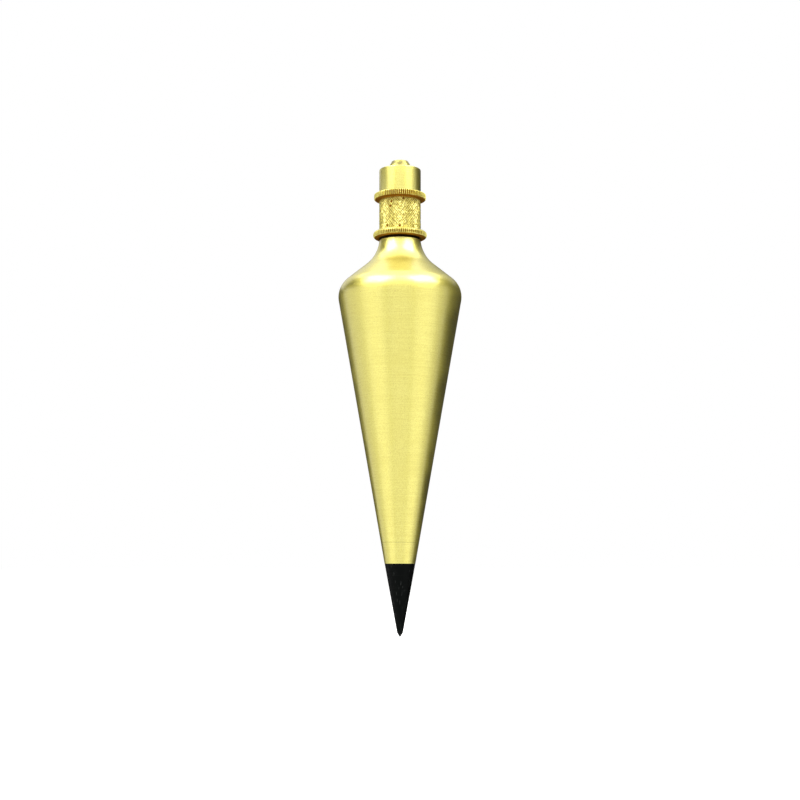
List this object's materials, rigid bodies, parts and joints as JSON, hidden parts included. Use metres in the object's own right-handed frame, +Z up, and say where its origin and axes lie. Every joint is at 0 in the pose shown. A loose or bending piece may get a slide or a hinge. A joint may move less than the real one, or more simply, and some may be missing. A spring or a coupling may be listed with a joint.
{
  "type": "plumb bob",
  "caption": "Turned brass plumb bob with a knurled screw cap, a swivelling cord bush and a replaceable blackened steel point.",
  "frame": {"origin": "the tip of the steel point", "axes": "+Z up along the bob's axis, from the tip towards the cord hole; the bob is round, so X and Y are free"},
  "size_m": [0.0382, 0.038, 0.147],
  "materials": {
    "satin_brass": "satin turned, lacquered",
    "knurled_brass": "satin turned with knurled grips",
    "pale_brass": "polished",
    "spring_steel": "bright",
    "black_steel": "blackened, ground tip"
  },
  "bodies": {
    "bob": {"bob_body": "satin_brass"},
    "retainer": {"snap_ring": "spring_steel"},
    "cap": {"screw_cap": "knurled_brass"},
    "bush": {"cord_bush": "pale_brass"},
    "collar": {"point_collar": "satin_brass"},
    "point": {"steel_point": "black_steel"}
  },
  "joints": [
    {"name": "cap_rise", "type": "slide", "parent": "bob", "child": "retainer", "axis": [0, 0, 1], "range_m": [0, 0.008]},
    {"name": "cap_turn", "type": "hinge", "parent": "retainer", "child": "cap", "pos_m": [0, 0, 0.12175], "axis": [0, 0, 1], "range_deg": [0, 2880]},
    {"name": "bush_swivel", "type": "hinge", "parent": "retainer", "child": "bush", "pos_m": [0, 0, 0.14435], "axis": [0, 0, 1], "continuous": true},
    {"name": "point_drop", "type": "slide", "parent": "bob", "child": "collar", "axis": [0, 0, -1], "range_m": [0, 0.0095]},
    {"name": "point_turn", "type": "hinge", "parent": "collar", "child": "point", "pos_m": [0, 0, 0.022], "axis": [0, 0, -1], "range_deg": [0, 3420]}
  ],
  "couplings": [
    {"joint": "cap_turn", "follows": "cap_rise", "rad_per_m": 6283.2},
    {"joint": "point_turn", "follows": "point_drop", "rad_per_m": 6283.2}
  ]
}
